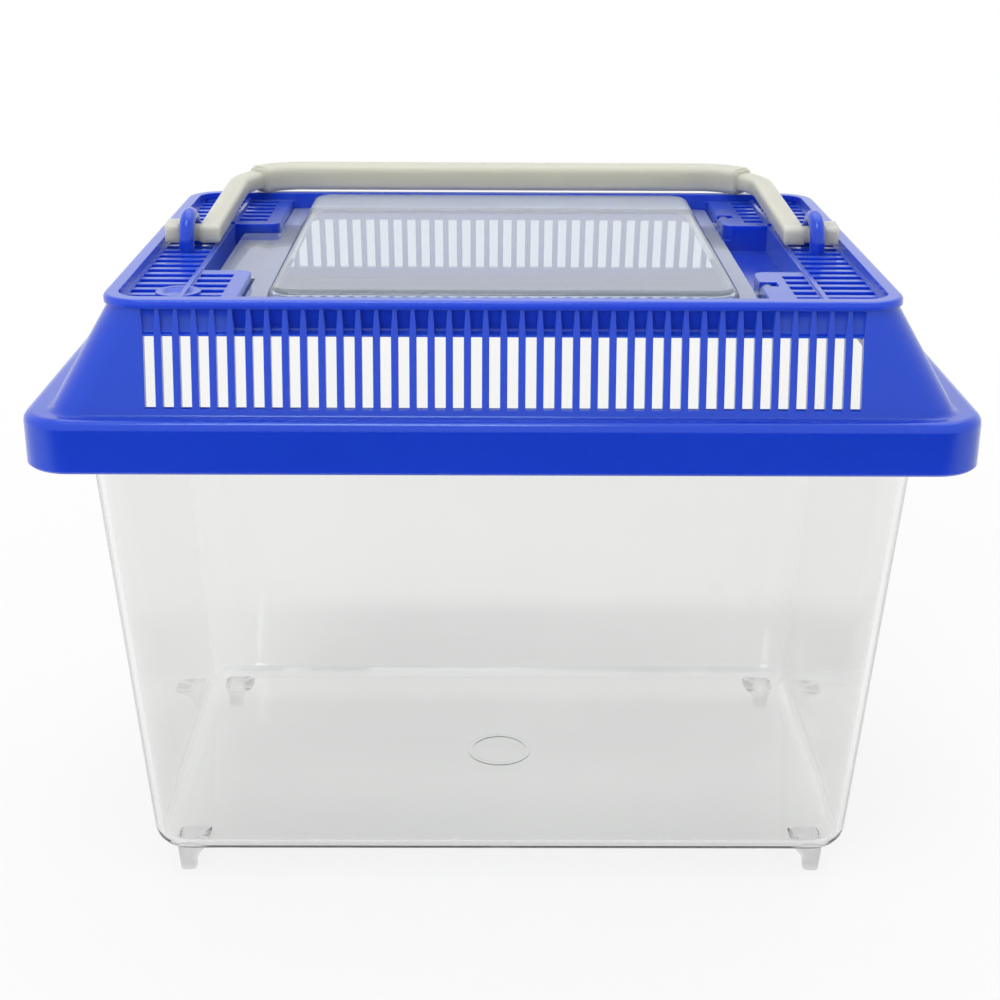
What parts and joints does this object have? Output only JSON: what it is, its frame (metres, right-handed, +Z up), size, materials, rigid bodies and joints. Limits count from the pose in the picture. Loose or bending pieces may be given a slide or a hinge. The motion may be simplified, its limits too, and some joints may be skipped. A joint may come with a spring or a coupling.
{
  "type": "pet keeper",
  "caption": "Clear tapered tank with feet, a slotted blue lid that lifts off, a hinged clear door in the lid, and an ivory carrying handle that swings in arched loops.",
  "frame": {"origin": "middle of the footprint of the lid and tank, on the surface that the feet stand on", "axes": "+X to the right seen from the front, along the long side; +Y to the back; +Z up"},
  "size_m": [0.232, 0.156, 0.1763],
  "materials": {
    "clear": "clear, polished styrene with a slight grey tone",
    "blue": "glossy, slightly translucent blue",
    "hazy": "clear with a haze and a polished surface",
    "ivory": "semi-gloss ivory"
  },
  "bodies": {
    "tank": {"tank": "clear"},
    "lid": {"lid": "blue"},
    "door": {"door": "hazy"},
    "handle": {"handle": "ivory"}
  },
  "joints": [
    {"name": "lid_lift", "type": "slide", "parent": "tank", "child": "lid", "axis": [0, 0, 1], "range_m": [0, 0.1]},
    {"name": "door_hinge", "type": "hinge", "parent": "lid", "child": "door", "pos_m": [0.06632, 0, 0.1636], "axis": [0, 1, 0], "range_deg": [0, 105]},
    {"name": "handle_swing", "type": "hinge", "parent": "lid", "child": "handle", "pos_m": [0, 0, 0.1695], "axis": [1, 0, 0], "range_deg": [0, 175.5]}
  ]
}
